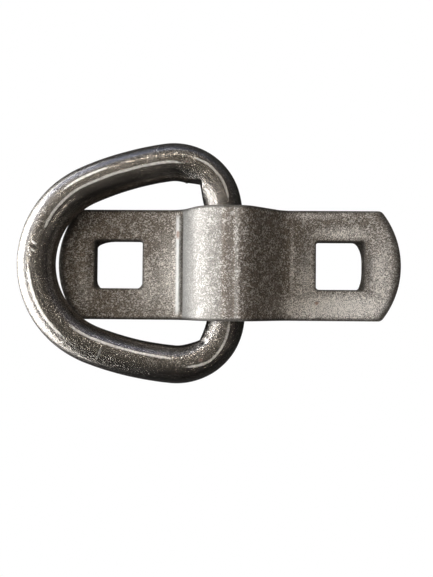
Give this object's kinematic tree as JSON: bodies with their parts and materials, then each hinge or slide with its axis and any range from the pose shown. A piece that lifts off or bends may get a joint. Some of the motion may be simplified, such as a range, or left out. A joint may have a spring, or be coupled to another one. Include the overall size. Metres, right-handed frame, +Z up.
{
  "type": "bolt-on lashing ring",
  "caption": "Forged D-shaped steel ring held in the raised saddle of a flat steel bar bracket with square bolt holes.",
  "frame": {"origin": "on the mounting surface, half way between the centres of the two square bolt holes", "axes": "+X along the bracket's bar, away from the lying ring; +Y across the bar; +Z up, out of the mounting surface"},
  "size_m": [0.131, 0.0822, 0.0203],
  "materials": {
    "bar_steel": "bare hot-rolled steel, tumbled and mottled, fine bright speckle, darker rounded edges",
    "forged_steel": "bare forged steel, smooth dark skin with a dull gloss, fine trim line round the ring"
  },
  "bodies": {
    "bracket": {"bracket": "bar_steel"},
    "ring": {"ring": "forged_steel"}
  },
  "joints": [
    {"name": "ring_swing", "type": "hinge", "parent": "bracket", "child": "ring", "pos_m": [-0.00135, 0.00105, 0.007], "axis": [-0.0332, 0.9995, 0], "range_deg": [0, 170]}
  ]
}
